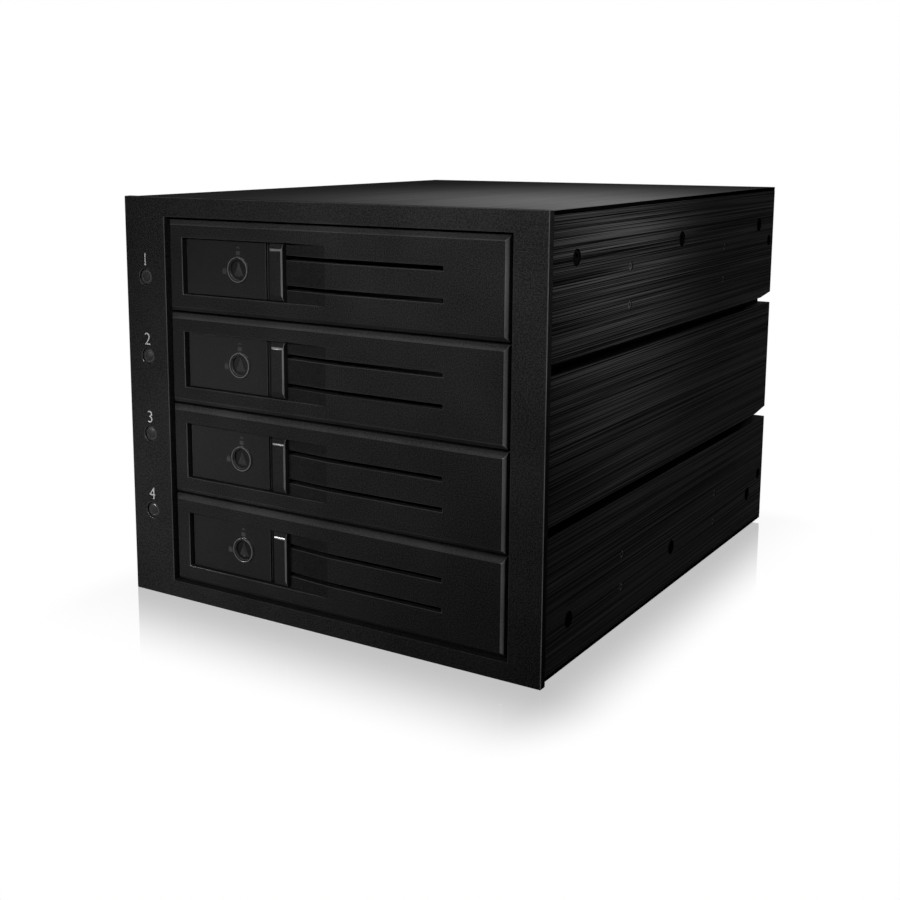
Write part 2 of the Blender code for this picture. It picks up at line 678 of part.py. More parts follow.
def build():
    plastic = material("black_plastic", BLACK_PLASTIC, 0.5)
    sheet = material("black_aluminium", BLACK_METAL, 0.35, 1.0)
    steel = material("steel", STEEL, 0.35, 1.0)
    black_steel = material("black_steel", BLACK_METAL, 0.4, 1.0)
    lens = material("light_lens", DARK_LENS, 0.15)
    lock_metal = material("lock_metal", LOCK_METAL, 0.3, 1.0)
    circuit = material("circuit_board", BOARD_GREEN, 0.45)
    cream = material("connector_plastic", CREAM, 0.5)
    grey = material("ribbon_grey", GREY, 0.6)

    front_bezel()
    paint(side_panel("left_side_panel", -1), sheet)
    paint(side_panel("right_side_panel", 1), sheet)
    paint(cover("top_cover", BODY_TOP, -1, SCREW_HIGH_Z), sheet)
    paint(cover("bottom_cover", BODY_BOTTOM, 1, SCREW_LOW_Z), sheet)
    for word, side in (("left", -1), ("right", 1)):
        paint(guide(f"{word}_drive_guide", side), plastic)
        spots = [(y, z) for z in (SCREW_HIGH_Z, SCREW_LOW_Z) for y in SCREW_Y]
        for index, (y, z) in enumerate(spots):
            paint(side_screw(f"{word}_screw_{index + 1}", side, y, z), black_steel)
    paint(rear_plate(), sheet)
    paint(backplane(), circuit)
    paint(fan_frame(), plastic)
    paint(fan_rotor(), plastic)
    lowest_light = LIGHT_TOP_Z - (BAYS - 1) * LIGHT_PITCH
    light_board_z = (lowest_light - LIGHT_BOARD_MARGIN, LIGHT_TOP_Z + LIGHT_BOARD_MARGIN)
    paint(box("led_board", LIGHT_BOARD_X, LIGHT_BOARD_Y, light_board_z), circuit)
    ribbon_y = (LIGHT_BOARD_Y[1] + GAP, BOARD_Y[0] - GAP)
    paint(box("led_ribbon", RIBBON_X, ribbon_y, RIBBON_Z), grey)
    rod_low = (HINGE_X, HINGE_Y, OPEN_Z[0] - COLLAR_WALL + GAP)
    rod_high = (HINGE_X, HINGE_Y, OPEN_Z[1] + COLLAR_WALL - GAP)
    paint(rod("hinge_rod", rod_low, rod_high, HINGE_R, SMALL), steel)
    for bay in range(BAYS):
        paint(light(bay), lens)
        paint(drive_connector(bay), plastic)
        paint(rear_socket(f"data_port_{bay + 1}", PORT_X, bay_middle(bay), PORT_TALL), plastic)
        panel = paint(door(bay), plastic)
        handle = paint(lever(bay), plastic)
        ride(handle, panel)
        ride(paint(lever_pin(bay), steel), panel)
        ride(paint(lever_spring(bay), steel), panel)
        ride(paint(lock(bay), lock_metal), handle)
    for index, z in enumerate(POWER_Z):
        paint(rear_socket(f"power_socket_{index + 1}", POWER_X, z, POWER_TALL), cream)


clear_scene()
shapes = new_collection("drive_rack")
cutters = new_collection("cutters")
build()
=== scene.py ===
"""Finish of the four-bay drive rack.

Detailed copies of its solids, its black plastics and metals, and a white studio around it.
"""

import json
import math

import bmesh
import bpy
from mathutils import Matrix, Vector

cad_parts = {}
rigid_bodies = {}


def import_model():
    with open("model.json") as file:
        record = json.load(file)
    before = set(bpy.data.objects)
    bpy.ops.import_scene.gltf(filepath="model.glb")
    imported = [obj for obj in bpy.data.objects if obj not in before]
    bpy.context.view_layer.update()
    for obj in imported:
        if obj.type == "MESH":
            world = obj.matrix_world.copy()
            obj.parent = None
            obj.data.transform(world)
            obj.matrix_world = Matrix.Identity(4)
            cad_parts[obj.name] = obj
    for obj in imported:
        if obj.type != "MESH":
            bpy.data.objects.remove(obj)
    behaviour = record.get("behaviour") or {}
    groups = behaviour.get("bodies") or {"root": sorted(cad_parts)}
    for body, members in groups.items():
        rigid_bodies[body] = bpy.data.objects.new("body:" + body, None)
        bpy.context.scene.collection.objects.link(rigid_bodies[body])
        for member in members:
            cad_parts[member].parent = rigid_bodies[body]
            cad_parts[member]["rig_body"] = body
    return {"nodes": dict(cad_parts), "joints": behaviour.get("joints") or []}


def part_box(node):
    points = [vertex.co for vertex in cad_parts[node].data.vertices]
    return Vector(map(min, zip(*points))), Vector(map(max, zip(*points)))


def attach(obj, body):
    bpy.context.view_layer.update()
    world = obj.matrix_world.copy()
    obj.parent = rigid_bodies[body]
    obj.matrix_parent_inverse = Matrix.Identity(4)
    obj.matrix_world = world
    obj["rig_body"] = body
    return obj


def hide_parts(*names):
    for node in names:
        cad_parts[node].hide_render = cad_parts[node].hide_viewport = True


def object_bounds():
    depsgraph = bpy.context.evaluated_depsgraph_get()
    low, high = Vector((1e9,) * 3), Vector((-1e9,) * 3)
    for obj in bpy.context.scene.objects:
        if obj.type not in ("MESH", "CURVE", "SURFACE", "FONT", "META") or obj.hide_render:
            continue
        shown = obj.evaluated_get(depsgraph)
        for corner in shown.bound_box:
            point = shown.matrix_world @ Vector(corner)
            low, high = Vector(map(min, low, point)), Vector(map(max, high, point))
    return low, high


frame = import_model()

CAD_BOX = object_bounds()
MM = 0.001


def in_mm(*points):
    """Points whose two measures are written in millimetres."""
    return [(first * MM, second * MM) for first, second in points]


BAYS = 4
TURN = 2 * math.pi
ROUND_STEPS = 48
WHITE = (1.0, 1.0, 1.0, 1.0)
EVEN = (1.0, 1.0, 1.0)
NOWHERE = (0.0, 0.0, 0.0)

# Camera of the photograph
CAMERA_AT = (0.21845, -0.38403, 0.14527)
CAMERA_AHEAD = (-0.5400, 0.8252, -0.1656)
CAMERA_LENS = 51.71
CAMERA_SENSOR = 36.0
CAMERA_SHIFT = (0.0598, -0.1077)

# Studio
AMBIENT = 0.13
FLOOR_HALF = 6.0
FLOOR_REACH_FRONT_LEFT = (0.020, 0.045, 1.0)
FLOOR_REACH_BACK_RIGHT = (0.026, 0.020, 1.0)
FLOOR_ROUGHNESS = 0.04
FLOOR_MIRROR = 0.86
FLOOR_WHITE = 0.53
FLOOR_PALE = (0.28, 0.32)
FLOOR_CLOUD = 6.0
# Each lamp: name, place, target, size in metres, power in watts and beam in degrees
LAMPS = (
    ("front_box", (0.09, -0.60, 0.36), (0.02, -0.09, 0.150), 0.16, 0.162, 31.0),
    ("left_grid", (-0.30, -0.42, 0.06), (-0.060, -0.09, 0.027), 0.05, 0.028, 22.0),
    ("rear_box", (-0.42, 0.55, 0.08), (-0.02, 0.09, 0.065), 0.16, 0.45, 60.0),
    ("corner_grid", (0.35, -0.16, 0.40), (0.073, -0.052, 0.134), 0.06, 0.038, 15.0),
    ("rim_grid", (-0.12, 0.36, 0.42), (0.07, -0.06, 0.127), 0.08, 0.14, 18.0),
)

# Grain of moulded plastic, where a noise swings about its middle
MIDDLE = 0.5
GRAIN_DETAIL = 3.0
GRAIN_CONTRAST = 3.5
GRAIN_ROUGH = 0.25
GRAIN_DEEP = 0.05 * MM
SATIN_DEEP = 0.015 * MM
FLOW_SCALE = 45.0
FLOW_CONTRAST = 0.6
FLOW_ROUGH = 0.1
# How far painted shade darkens the faces marked with it
PAINTED_SHADE_DARK = 0.5
# How edges are lightened and glossed, partly by use and partly as a painted highlight
RUB_GRAIN = 0.8
RUB_FLOW = 1.2
RUB_LEVEL = 0.8
RUB_POLISH = 0.08
RUB_FLATTEN = 0.6
RUB_ROUGHNESS = 0.22

# Brush lines of the sheets
BRUSH_FINE = (5200.0, 10.0, 5200.0)
BRUSH_BROAD = (900.0, 4.0, 900.0)
BRUSH_CONTRAST = 3.2
BRUSH_LEVEL = 0.33
BRUSH_POLISH = 0.15
BRUSH_DEEP = 0.02 * MM
BRUSH_STRENGTH = 0.6
# Painted shade: the black given to faces marked with it
UNLIT_BLACK = (0.001, 0.001, 0.001)

# Cloudiness and dust of painted, plated and printed surfaces
CLOUD_SCALE = 44.0
CLOUD_TONE = 0.7
CLOUD_ROUGH = 0.1
DUST_SCALE = 2640.0
DUST_TONE = 0.6
DUST_LEVEL = -0.15
DUST_ROUGH = 0.12
DUST_DEEP = 0.01 * MM
DUST_STRENGTH = 0.4

# Tracks and specks of the circuit boards
TRACK_SCALE = 260.0
TRACK_WIDE = 0.03
TRACK_OFFSET = 0.37
TRACK_TONE = 0.6
TRACK_DEEP = 0.03 * MM
TRACK_STRENGTH = 0.5
SPECK_SCALE = 900.0
SPECK_TONE = 0.4
SPECK_ROUGH = 0.2
MASK_ROUGHNESS = 0.25
MASK_DARK = (0.004, 0.030, 0.014)
MASK_LIGHT = (0.012, 0.085, 0.040)

# Limits that tell faces and edges of the solids apart
MERGE = 1e-6
FLAT = math.radians(1.0)
SHARP = math.radians(30.0)
BAR_SHARP = math.radians(20.0)
CREASE = math.radians(9.0)
SLANT = math.cos(math.radians(14.0))
RAMP = math.cos(math.radians(3.0))
LEANING = 0.2
SIDEWAYS = 0.5
FORWARD = 0.99
DEPTH_DIGITS = 5
FACET_LONG = 0.7 * MM
SKIN_DEEP = 0.4 * MM

# Numbers written on faces, which the finishes read: edges lightened by use and by a painted highlight, and
# painted shade
WEAR_AND_HIGHLIGHT = "edge_wear"
PAINTED_SHADE = "sunk_face"
# Lower levels of the edge lightening, by use and by a painted highlight, on edges away from the lamps
FAINT_WEAR_AND_HIGHLIGHT = 0.3
PART_WEAR_AND_HIGHLIGHT = 0.38
NECK_DARK = 2.0

# Edge rounding of the detailed copies
BEZEL_EDGE = 0.45 * MM
DOOR_EDGE = 0.18 * MM
LEVER_EDGE = 0.12 * MM
SHEET_EDGE = 0.14 * MM
SMALL_EDGE = 0.12 * MM
FAN_EDGE = 0.4 * MM
EDGE_STEPS = 2
FRONT_EDGE_STEPS = 3
SEAM_CLOSE = 0.27 * MM

# Lever: the bar at its right end and the groove beside it
BAR_WIDE = 4.8 * MM
# Normals of the bar's upper edge faces, which get edge lightening with a painted highlight
BAR_UPPER_EDGE = (0.07, 0.38)
BAR_END_SLOPE = (0.3, 0.6)
BAR_EASE = 0.33 * MM
ROUND_PROFILE = 0.5
NECK_LEFT = 7.1 * MM
NECK_DEEP = 1.55 * MM

# Lock: ring, arrow and printed marks
LOCK_RING_PROFILE = in_mm(
    (3.8, 0.3), (3.8, -0.47), (3.73, -0.56), (3.62, -0.6), (3.51, -0.56), (3.43, -0.4), (3.38, -0.15),
    (3.32, -0.05), (3.25, -0.2), (3.16, -0.25), (3.04, -0.2), (3.0, -0.05), (3.0, 0.3),
)
LOCK_RING_STEPS = 60
LOCK_NOTCH = math.radians(9.0)
ARROW_CORNERS = in_mm((0.0, 2.2), (-1.75, -1.8), (1.75, -1.8))
ARROW_PROUD = 0.7 * MM
ARROW_SUNK = 0.3 * MM
PRINT_DEEP = 0.04 * MM
MARK_SIZE = 1.5 * MM
MARK_TOP_RISE = 5.1 * MM
MARK_LEFT_RUN = 5.3 * MM
MARK_LIFT = 0.45
MARK_BLOCK_TOP = 0.6
MARK_SHACKLE = (0.45, 0.85)
MARK_SHACKLE_STEPS = 12

# Status lights and their numerals
NUMERAL_TALL = 3.75 * MM
NUMERAL_THIN = 0.012
NUMERAL_RISE = 3.6 * MM
LENS_FLANGE_WIDE = 0.7 * MM
LENS_FLANGE = (2.75 * MM, 3.9 * MM)
LENS_LIP = in_mm((0.0, 0.35), (0.15, 0.2), (0.45, 0.2), (0.55, 0.34))
LENS_DOME_INSET = 0.6 * MM
LENS_DOME = 0.22 * MM
LENS_DOME_STEPS = 6

# Side screws, and sleeves in the small holes that hold the rack in its case
SCREW_COLUMNS = 3
SCREW_ROWS = 2
SCREW_STEPS = 36
SCREW_TALL = 1.0 * MM
SCREW_BEVEL = 0.25 * MM
SCREW_SOCKET = 1.25 * MM
SCREW_SOCKET_RIM = 1.5 * MM
SCREW_SOCKET_DEEP = 0.7 * MM
BAY_HOLE_DEPTHS = (-39.3 * MM, 39.95 * MM)
BAY_HOLE_ROWS = in_mm((12.9, 23.0), (97.5, 108.6))
NUT_PROFILE = in_mm((1.15, 1.1), (1.15, 0.1), (1.05, 0.0), (0.7, 0.0), (0.6, 0.15), (0.6, 1.1), (1.15, 1.1))
NUT_STEPS = 24
NUT_SUNK = 0.15 * MM

# Contacts of the connectors and sockets
CONTACT_STEP = 1.27 * MM
CONTACT_WIDE = 0.6 * MM
CONTACT_TALL = 0.25 * MM
CONTACT_LONG = 3.4 * MM
CONTACT_INSET = 1.2 * MM
CONTACT_DROP = 1.0 * MM
CONTACT_MARGIN = 6.0 * MM

# Fan
FAN_HUB_R = 16.0 * MM
FAN_HUB_FACE = in_mm((16.0, 1.2), (15.65, 0.4), (14.8, 0.0), (4.0, 0.0), (3.6, 0.25), (0.0, 0.25))
FAN_SCREW_HEAD = in_mm(
    (0.0, 1.2), (2.6, 1.2), (2.6, 0.5), (2.1, 0.1), (1.6, 0.0), (1.0, 0.0), (0.8, 0.6), (0.0, 0.6)
)
FAN_SCREW_PROUD = 0.6 * MM
FAN_SCREW_STEP = 71.5 * MM
BLADES = 7
BLADE_SPAN = (15.0 * MM, 36.6 * MM)
BLADE_CHORD = (12.5 * MM, 17.0 * MM)
BLADE_TURN = (math.radians(52.0), math.radians(30.0))
BLADE_SWEEP = math.radians(18.0)
BLADE_THICK = 1.1 * MM
BLADE_CAMBER = 0.08
BLADE_FLATTEN = 0.62
BLADE_ROWS = 10
BLADE_STEPS = 16

# Sockets of the colour mixing node
MIX_AMOUNT = 0
MIX_DARK = 6
MIX_LIGHT = 7
MIX_RESULT = 2


class Wire:
    """An output socket that can be used in sums with numbers and other wires."""

    def __init__(self, paint, socket):
        self.paint = paint
        self.socket = socket

    def sum(self, operation, left, right):
        return self.paint.node("ShaderNodeMath", {"operation": operation}, {0: left, 1: right})

    def __add__(self, other):
        return self.sum("ADD", self, other)

    def __radd__(self, other):
        return self.sum("ADD", other, self)

    def __sub__(self, other):
        return self.sum("SUBTRACT", self, other)

    def __rsub__(self, other):
        return self.sum("SUBTRACT", other, self)

    def __mul__(self, other):
        return self.sum("MULTIPLY", self, other)

    def __rmul__(self, other):
        return self.sum("MULTIPLY", other, self)

    def __truediv__(self, other):
        return self.sum("DIVIDE", self, other)

    def __rtruediv__(self, other):
        return self.sum("DIVIDE", other, self)

    def most(self, other):
        return self.sum("MAXIMUM", self, other)

    def clamp(self):
        return self.paint.node("ShaderNodeClamp", {}, {"Value": self})


class Paint:
    """Makes and links the nodes of a material, of the world or of a layout."""

    def __init__(self, tree):
        self.tree = tree

    def node(self, kind, settings, values, output=0):
        made = self.tree.nodes.new(kind)
        for name, value in settings.items():
            setattr(made, name, value)
        for socket, value in values.items():
            self.feed(made.inputs[socket], value)
        return Wire(self, made.outputs[output])

    def feed(self, socket, value):
        if isinstance(value, Wire):
            self.tree.links.new(value.socket, socket)
        else:
            socket.default_value = value

    def place(self, stretch=EVEN):
        """The object's own coordinates in metres, stretched along each axis."""
        spot = self.node("ShaderNodeTexCoord", {}, {}, "Object")
        return self.node("ShaderNodeMapping", {}, {"Vector": spot, "Scale": stretch})

    def noise(self, scale, detail=2.0, stretch=EVEN):
        values = {"Vector": self.place(stretch), "Scale": scale, "Detail": detail}
        return self.node("ShaderNodeTexNoise", {}, values, "Fac")

    def blend(self, amount, dark, light):
        """A colour between two, by an amount from 0 to 1."""
        dark, light = [end if isinstance(end, Wire) else (*end, 1.0) for end in (dark, light)]
        values = {MIX_AMOUNT: amount, MIX_DARK: dark, MIX_LIGHT: light}
        return self.node("ShaderNodeMix", {"data_type": "RGBA"}, values, MIX_RESULT)

    def vector(self, operation, left, right):
        return self.node("ShaderNodeVectorMath", {"operation": operation}, {0: left, 1: right})

    def face_value(self, name):
        return self.node("ShaderNodeAttribute", {"attribute_name": name}, {}, "Fac")

    def seen(self):
        """1 where a surface is looked at, directly, in a reflection or through glass."""
        rays = ("Is Camera Ray", "Is Glossy Ray", "Is Transmission Ray")
        camera, glossy, through = [self.node("ShaderNodeLightPath", {}, {}, ray) for ray in rays]
        return camera.most(glossy).most(through)


class Finish(Paint):
    """A procedural material with one main shader."""

    def __init__(self, name, **constants):
        self.material = bpy.data.materials.new(name)
        self.material.use_nodes = True
        super().__init__(self.material.node_tree)
        self.shader = self.tree.nodes["Principled BSDF"]
        self.surface(**constants)

    def surface(self, **values):
        for name, value in values.items():
            self.feed(self.shader.inputs[name.replace("_", " ")], value)

    def bump(self, height, distance, strength=1.0):
        values = {"Height": height, "Distance": distance, "Strength": strength}
        self.surface(Normal=self.node("ShaderNodeBump", {}, values))


class Layout(Paint):
    """A geometry node tree that repeats a shape in one finish, with inputs of its own."""

    def __init__(self, name, inputs):
        super().__init__(bpy.data.node_groups.new(name, "GeometryNodeTree"))
        sockets = {"Geometry": "NodeSocketGeometry", **inputs, "Finish": "NodeSocketMaterial"}
        for label, kind in sockets.items():
            self.tree.interface.new_socket(label, in_out="INPUT", socket_type=kind)
        self.tree.interface.new_socket("Geometry", in_out="OUTPUT", socket_type="NodeSocketGeometry")

    def given(self, label):
        return self.node("NodeGroupInput", {}, {}, label)

    def line(self, count, step):
        return self.node("GeometryNodeMeshLine", {}, {"Count": count, "Offset": step})

    def copies(self, shape, points, **more):
        values = {"Points": points, "Instance": shape, **more}
        return self.node("GeometryNodeInstanceOnPoints", {}, values)

    def close(self, geometry):
        whole = self.node("GeometryNodeRealizeInstances", {}, {"Geometry": geometry})
        values = {"Geometry": whole, "Material": self.given("Finish")}
        painted = self.node("GeometryNodeSetMaterial", {}, values)
        self.feed(self.tree.nodes.new("NodeGroupOutput").inputs["Geometry"], painted)
        return self.tree


def moulded(name, dark, light, worn_and_lit, roughness, shine, gloss, scale, deep):
    """Moulded plastic with a fine grain, faint flow marks, edges lightened and glossier by use and by a
    painted highlight, and painted shade on marked faces.
    """
    finish = Finish(name, Specular_IOR_Level=shine, Coat_Roughness=RUB_ROUGHNESS)
    grain = finish.noise(scale, GRAIN_DETAIL)
    speckle = grain - MIDDLE
    drift = finish.noise(FLOW_SCALE) - MIDDLE
    # Painted shade: faces marked with it are darkened
    shade = 1.0 - finish.face_value(PAINTED_SHADE) * PAINTED_SHADE_DARK
    tone = (speckle * GRAIN_CONTRAST + drift * FLOW_CONTRAST + MIDDLE).clamp() * shade
    # Edges are lightened and given a coat, partly by use and partly as a painted highlight
    edge = finish.face_value(WEAR_AND_HIGHLIGHT)
    rubbed_and_lit = edge * (drift * RUB_FLOW + speckle * RUB_GRAIN + RUB_LEVEL).clamp()
    body = finish.blend(tone, dark, light)
    finish.surface(Base_Color=finish.blend(rubbed_and_lit, body, worn_and_lit), Coat_Weight=rubbed_and_lit * gloss)
    finish.surface(Roughness=speckle * GRAIN_ROUGH + drift * FLOW_ROUGH + roughness - edge * RUB_POLISH)
    finish.bump(grain * (1.0 - edge * RUB_FLATTEN), deep)
    return finish


def brushed(name, dark, light, roughness, shine):
    """Anodised sheet with long brush lines that run along the depth, and painted shade in unlit black on
    marked faces.
    """
    finish = Finish(name, Specular_IOR_Level=shine)
    fine = finish.noise(1.0, 1.0, BRUSH_FINE)
    broad = finish.noise(1.0, 2.0, BRUSH_BROAD)
    line = ((fine - MIDDLE) * BRUSH_CONTRAST + (broad - MIDDLE) + BRUSH_LEVEL).clamp()
    body = finish.blend(line, dark, light)
    # Painted shade: faces marked with it are painted unlit black
    finish.surface(Base_Color=finish.blend(finish.face_value(PAINTED_SHADE), body, UNLIT_BLACK))
    finish.surface(Roughness=roughness - line * BRUSH_POLISH)
    finish.bump(fine, BRUSH_DEEP, BRUSH_STRENGTH)
    return finish


def satin(name, dark, light, roughness, shine=0.5, metallic=0.0):
    """Painted, plated or printed surface with soft cloudiness and fine dust-like grain."""
    finish = Finish(name, Specular_IOR_Level=shine, Metallic=metallic)
    cloud = finish.noise(CLOUD_SCALE)
    dust = finish.noise(DUST_SCALE)
    tone = (cloud * CLOUD_TONE + dust * DUST_TONE + DUST_LEVEL).clamp()
    finish.surface(Base_Color=finish.blend(tone, dark, light))
    finish.surface(Roughness=(dust - MIDDLE) * DUST_ROUGH + (cloud - MIDDLE) * CLOUD_ROUGH + roughness)
    finish.bump(dust, DUST_DEEP, DUST_STRENGTH)
    return finish


def circuit_green():
    """Solder mask with copper tracks showing through as slightly lighter lines."""
    finish = Finish("circuit_green")
    values = {"Vector": finish.place(), "Scale": TRACK_SCALE, "Mortar Size": TRACK_WIDE}
    tracks = finish.node("ShaderNodeTexBrick", {"offset": TRACK_OFFSET}, values, "Fac")
    speck = finish.noise(SPECK_SCALE)
    tone = (tracks * TRACK_TONE + speck * SPECK_TONE).clamp()
    finish.surface(Base_Color=finish.blend(tone, MASK_DARK, MASK_LIGHT))
    finish.surface(Roughness=speck * SPECK_ROUGH + MASK_ROUGHNESS)
    finish.bump(tracks, TRACK_DEEP, TRACK_STRENGTH)
    return finish


def grey(level, blue):
    return (level, level, blue)


# Moulded finishes take a dark and a light tone, then a lighter edge colour that is partly use and partly a
# painted highlight
FINISHES = {
    "bezel": moulded(
        "bezel_grain", grey(0.0070, 0.0072), grey(0.0240, 0.0245), grey(0.032, 0.0326),
        roughness=0.50, shine=0.0, gloss=1.0, scale=2600.0, deep=GRAIN_DEEP,
    ),
    "door": moulded(
        "door_grain", grey(0.0065, 0.0067), grey(0.0220, 0.0225), grey(0.036, 0.0367),
        roughness=0.48, shine=0.0, gloss=1.0, scale=2800.0, deep=GRAIN_DEEP,
    ),
    "lever": moulded(
        "lever_satin", grey(0.0065, 0.0067), grey(0.0145, 0.0148), grey(0.090, 0.0915),
        roughness=0.38, shine=0.02, gloss=1.0, scale=3600.0, deep=SATIN_DEEP,
    ),
    "inner": moulded(
        "inner_plastic", grey(0.006, 0.0065), grey(0.018, 0.0185), grey(0.030, 0.031),
        roughness=0.55, shine=0.2, gloss=0.3, scale=1200.0, deep=GRAIN_DEEP,
    ),
    "lens": moulded(
        "smoked_lens", grey(0.0140, 0.0145), grey(0.0220, 0.0226), grey(0.030, 0.031),
        roughness=0.30, shine=0.03, gloss=0.7, scale=3000.0, deep=SATIN_DEEP,
    ),
    "lock": moulded(
        "lock_gunmetal", grey(0.0030, 0.0032), grey(0.0070, 0.0073), grey(0.020, 0.0205),
        roughness=0.34, shine=0.03, gloss=0.4, scale=4000.0, deep=SATIN_DEEP,
    ),
    # A lighter copy of the plug's gunmetal: partly a painted sheen in place of a glint
    "arrow": moulded(
        "arrow_gunmetal", grey(0.0200, 0.0204), grey(0.0320, 0.0326), grey(0.032, 0.0326),
        roughness=0.50, shine=0.0, gloss=0.05, scale=4000.0, deep=SATIN_DEEP,
    ),
    "lock_ring": moulded(
        "lock_ring_metal", grey(0.018, 0.0185), grey(0.030, 0.031), grey(0.040, 0.041),
        roughness=0.28, shine=0.2, gloss=1.0, scale=4000.0, deep=SATIN_DEEP,
    ),
    "side": brushed(
        "brushed_black", grey(0.0008, 0.0009), grey(0.0440, 0.0446), roughness=0.60, shine=0.002
    ),
    # Lighter than the side's sheet: partly a painted sheen of the top
    "cover": brushed(
        "brushed_cover", grey(0.028, 0.0284), grey(0.046, 0.0466), roughness=0.90, shine=0.0
    ),
    # Near black: black oxide, partly painted shade of a deeper recess
    "screw": satin("black_oxide", grey(0.0012, 0.0012), grey(0.0036, 0.0036), roughness=0.55, shine=0.0),
    "nut": satin("dark_sleeve", grey(0.014, 0.0143), grey(0.030, 0.0306), roughness=0.5, shine=0.05),
    "steel": satin("ground_steel", grey(0.30, 0.31), grey(0.50, 0.51), roughness=0.32, metallic=1.0),
    "print": satin("grey_print", grey(0.32, 0.33), grey(0.42, 0.43), roughness=0.6, shine=0.1),
    "faint_print": satin("dark_print", grey(0.018, 0.0185), grey(0.030, 0.031), roughness=0.6, shine=0.1),
    "gold": satin("gold_contact", (0.55, 0.38, 0.12), (0.75, 0.55, 0.22), roughness=0.3, metallic=1.0),
    "cream": satin("power_cream", (0.42, 0.40, 0.34), (0.56, 0.53, 0.46), roughness=0.5),
    "ribbon": satin("ribbon_grey", grey(0.22, 0.23), grey(0.34, 0.35), roughness=0.6),
    "board": circuit_green(),
}

PANEL_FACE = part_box("right_side_panel")[1].x


def body_of(node):
    return frame["nodes"][node]["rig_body"]


def centre_of(node):
    low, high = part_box(node)
    return (low + high) / 2


def between(ends, share):
    return ends[0] + share * (ends[1] - ends[0])


def squareness(face):
    return max(abs(part) for part in face.normal)


def slanted(face):
    """1 on the rounded edges and chamfers, and 0 on faces square to the rack."""
    return float(squareness(face) < SLANT)


def on_ramp(face):
    """1 on the door's smooth finger ramp, which is only gently sloped: painted shade darkens it."""
    return float(SLANT < squareness(face) < RAMP)


def bezel_wear(face):
    """Edges of the bezel lightened by use and by a painted highlight: most where they face right, towards
    the lamps, and hardly elsewhere.
    """
    return slanted(face) * (1.0 if face.normal.x > LEANING else FAINT_WEAR_AND_HIGHLIGHT)


def door_wear(face):
    """Edges of a door lightened by use and by a painted highlight: most where they face right, towards the
    lamps, and less elsewhere.
    """
    return slanted(face) * (1.0 if face.normal.x > LEANING else PART_WEAR_AND_HIGHLIGHT)


def bezel_rim(face):
    """1 on the bezel's outer sides, which get painted shade."""
    return float(abs(face.normal.x) > SLANT and abs(face.center.x) > CAD_BOX[1].x - SKIN_DEEP)


def lever_wear(high):
    """Finds how much the edges of the lever that ends here are lightened by use and by a painted highlight:
    most on the right and upper edges of its bar.
    """
    def wear(face):
        if face.center.x < high.x - BAR_WIDE:
            return slanted(face) * (1.0 if face.normal.z > LEANING else FAINT_WEAR_AND_HIGHLIGHT)
        upper = BAR_UPPER_EDGE[0] < face.normal.z < BAR_UPPER_EDGE[1]
        return float(upper or slanted(face) and face.normal.x > LEANING)
    return wear


def lever_neck(low, high):
    """Finds the faces of the groove between the panel and the bar of the lever in this box, which get a
    painted shadow.
    """
    def sunk(face):
        beside = high.x - NECK_LEFT < face.center.x < high.x - BAR_WIDE
        return NECK_DARK * float(beside and face.center.y > low.y + NECK_DEEP)
    return sunk


def sheet_edge(face):
    """1 on the cut edges and the flanges of a cover, which get painted shade in unlit black."""
    return float(abs(face.normal.x) > SIDEWAYS)


def inside_panel(face):
    """1 on a side panel's grooves, holes and back, which get painted shade in unlit black."""
    return float(abs(face.center.x) < PANEL_FACE - SKIN_DEEP)


def mark(mesh, name, value):
    """Writes a number on each face, which its finish reads."""
    layer = mesh.attributes.new(name, "FLOAT", "FACE")
    for face in mesh.polygons:
        layer.data[face.index].value = value(face)


def meshed(name, bm):
    mesh = bpy.data.meshes.new(name)
    bm.to_mesh(mesh)
    bm.free()
    return mesh


def soften(mesh, angle=SHARP):
    mesh.shade_smooth()
    mesh.set_sharp_from_angle(angle=angle)


def placed(name, data):
    thing = bpy.data.objects.new(name, data)
    bpy.context.scene.collection.objects.link(thing)
    return thing


def adopt(name, mesh, finish, body, replaced=()):
    """Keeps a finished mesh as a piece of the rack that rides on a body."""
    mesh.materials.clear()
    mesh.materials.append(FINISHES[finish].material)
    piece = placed(name, mesh)
    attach(piece, body)
    if replaced:
        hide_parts(*replaced)


def add(name, bm, finish, body, replaced=()):
    """Finishes a new shape and keeps it as a piece."""
    mesh = meshed(name, bm)
    soften(mesh)
    mark(mesh, WEAR_AND_HIGHLIGHT, slanted)
    adopt(name, mesh, finish, body, replaced)


def repainted(node, finish):
    """Gives a CAD node that keeps its shape a finish of its own."""
    for slot in frame["nodes"][node].material_slots:
        slot.material = FINISHES[finish].material


def merged_copy(node):
    """A CAD solid's mesh with its corners joined and its flat triangles dissolved."""
    bm = bmesh.new()
    bm.from_mesh(frame["nodes"][node].data)
    bmesh.ops.remove_doubles(bm, verts=bm.verts, dist=MERGE)
    bmesh.ops.dissolve_limit(bm, angle_limit=FLAT, verts=bm.verts, edges=bm.edges)
    return bm


def baked(data, *modifiers):
    """The mesh that a shape has after the given modifiers, each a type and its settings."""
    carrier = placed("carrier", data)
    for kind, settings in modifiers:
        modifier = carrier.modifiers.new(kind, kind)
        for name, value in settings.items():
            if name == "inputs":
                set_inputs(modifier, value)
            else:
                setattr(modifier, name, value)
    shown = carrier.evaluated_get(bpy.context.evaluated_depsgraph_get())
    made = bpy.data.meshes.new_from_object(shown)
    bpy.data.objects.remove(carrier)
    return made


def set_inputs(modifier, values):
    sockets = {item.name: item.identifier for item in modifier.node_group.interface.items_tree}
    for name, value in values.items():
        modifier[sockets[name]] = value


